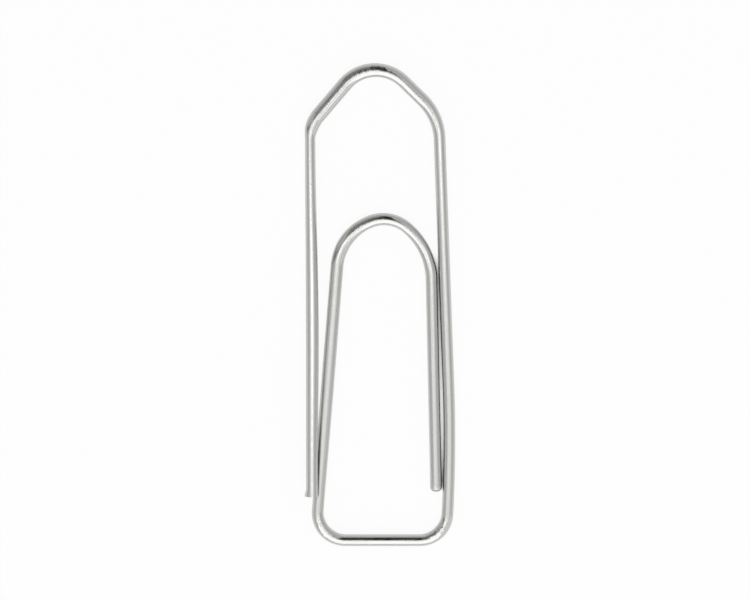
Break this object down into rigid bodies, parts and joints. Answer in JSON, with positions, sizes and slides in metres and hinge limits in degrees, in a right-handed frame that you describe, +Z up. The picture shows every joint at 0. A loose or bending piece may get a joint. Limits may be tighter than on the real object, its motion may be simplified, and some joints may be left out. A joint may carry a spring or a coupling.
{
  "type": "paper clip",
  "caption": "Flat paper clip of bright plated steel wire, with a pointed nose, a square heel and a round inner tongue that springs open to grip sheets.",
  "frame": {"origin": "middle of the clip's outline, on the surface that it lies on", "axes": "+Y along the clip from the heel to the nose, +X towards the back leg, +Z up off the table"},
  "size_m": [0.0156, 0.05, 0.0024],
  "materials": {
    "plated_wire": "bright zinc or nickel plating on drawn steel wire"
  },
  "bodies": {
    "heel": {"crossbar": "plated_wire", "left_heel_corner": "plated_wire", "inner_leg": "plated_wire"},
    "tongue": {"arch": "plated_wire", "tongue_leg": "plated_wire"},
    "back": {"right_heel_corner": "plated_wire", "back_leg_bow": "plated_wire", "back_leg": "plated_wire"},
    "nose": {"right_shoulder": "plated_wire", "right_flank": "plated_wire", "nose_peak": "plated_wire", "left_flank": "plated_wire"},
    "outer": {"left_shoulder": "plated_wire", "outer_leg": "plated_wire"}
  },
  "joints": [
    {"name": "jaw_opening", "type": "hinge", "parent": "heel", "child": "back", "pos_m": [0.00407, -0.0244, 0.0006], "axis": [1, 0, 0], "range_deg": [0, 10], "stiffness_Nm_per_rad": 0.5},
    {"name": "tongue_roll", "type": "hinge", "parent": "heel", "child": "tongue", "pos_m": [-0.0044, 0.00413, 0.0006], "axis": [-0.0785, -0.9969, 0], "range_deg": [-6, 6], "stiffness_Nm_per_rad": 0.48},
    {"name": "nose_roll", "type": "hinge", "parent": "back", "child": "nose", "pos_m": [0.00612, 0.01729, 0.0006], "axis": [-0.0366, 0.9993, 0], "range_deg": [0, 6], "stiffness_Nm_per_rad": 0.38},
    {"name": "outer_leg_swing", "type": "hinge", "parent": "nose", "child": "outer", "pos_m": [-0.0063, 0.01973, 0.0006], "axis": [-0.6455, -0.7638, 0], "range_deg": [0, 6], "stiffness_Nm_per_rad": 0.55}
  ]
}
